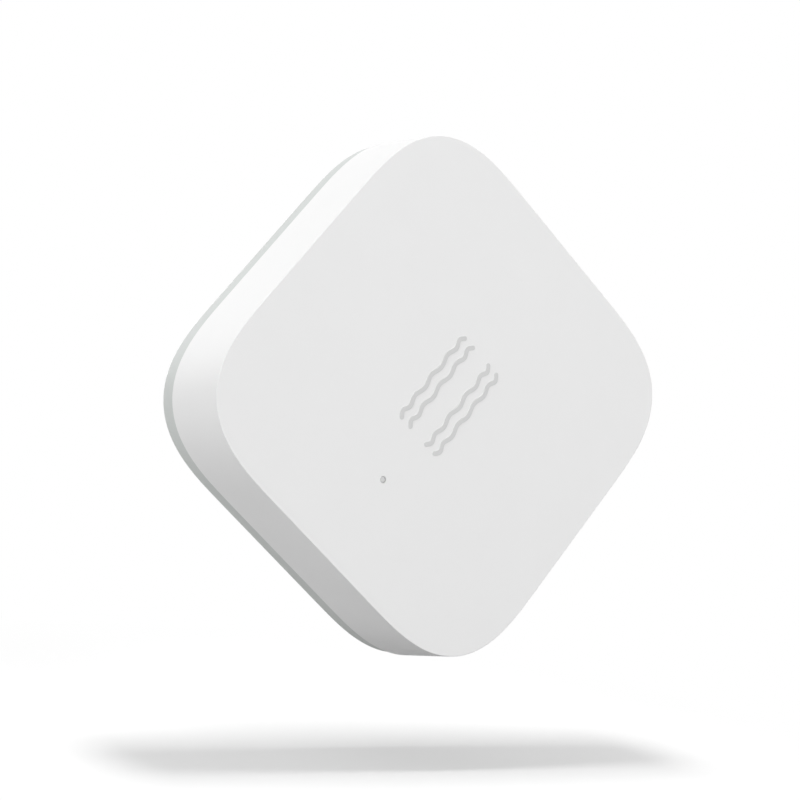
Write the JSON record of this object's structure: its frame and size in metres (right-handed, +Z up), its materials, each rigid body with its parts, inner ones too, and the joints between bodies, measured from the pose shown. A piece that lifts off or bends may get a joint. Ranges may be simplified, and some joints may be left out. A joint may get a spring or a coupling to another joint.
{
  "type": "vibration sensor tag",
  "caption": "Square, soft-cornered wall sensor tag with a wave symbol, light dot, side button, board, coin cell and a pull-off adhesive rear cover.",
  "frame": {"origin": "centre of the adhesive pad's outer face, where the tag sticks to a wall", "axes": "+Z up with the tag standing on its corner as in the picture, +Y out of the back into the wall, the face looks along -Y, +X to the viewer's right"},
  "size_m": [0.0538, 0.0113, 0.0538],
  "materials": {
    "shell_white": "fine moulded satin, white",
    "symbol_grey": "matt grey inlay",
    "lens_clear": "clear moulded plastic over a dark hole",
    "cover_grey": "fine moulded satin, pale grey with a trace of green",
    "foam": "closed-cell foam tape",
    "board_green": "glass-fibre board with solder mask",
    "steel": "plated spring steel",
    "tin": "tin-plated sheet",
    "nylon_black": "moulded black nylon",
    "chip_black": "moulded chip package",
    "antenna_white": "white ceramic",
    "ceramic_tan": "tan ceramic",
    "cell_steel": "nickel-plated steel",
    "seal_black": "polymer seal",
    "cell_mass": "pressed electrodes"
  },
  "bodies": {
    "cover": {"rear_cover": "cover_grey", "adhesive_pad": "foam"},
    "tag": {"front_shell": "shell_white", "wave_symbol": "symbol_grey", "light_pipe": "lens_clear", "circuit_board": "board_green", "board_screws": "steel", "switch_base": "nylon_black", "switch_frame": "steel", "indicator_led": "lens_clear", "shield_can": "tin", "radio_chip": "chip_black", "crystal": "tin", "motion_sensor": "chip_black", "memory_chip": "chip_black", "regulator": "chip_black", "chip_antenna": "antenna_white", "capacitors": "ceramic_tan", "resistors": "chip_black", "battery_holder": "nylon_black", "negative_contact": "steel", "positive_contact": "steel", "cell_can": "cell_steel", "cell_gasket": "seal_black", "cell_cap": "cell_steel", "cell_core": "cell_mass"},
    "button": {"reset_button": "shell_white", "switch_plunger": "nylon_black"}
  },
  "joints": [
    {"name": "cover_pull", "type": "slide", "parent": "cover", "child": "tag", "axis": [0, -1, 0], "range_m": [0, 0.03]},
    {"name": "button_press", "type": "slide", "parent": "tag", "child": "button", "axis": [-0.7071, 0, -0.7071], "range_m": [0, 0.0003], "stiffness_N_per_m": 400}
  ]
}
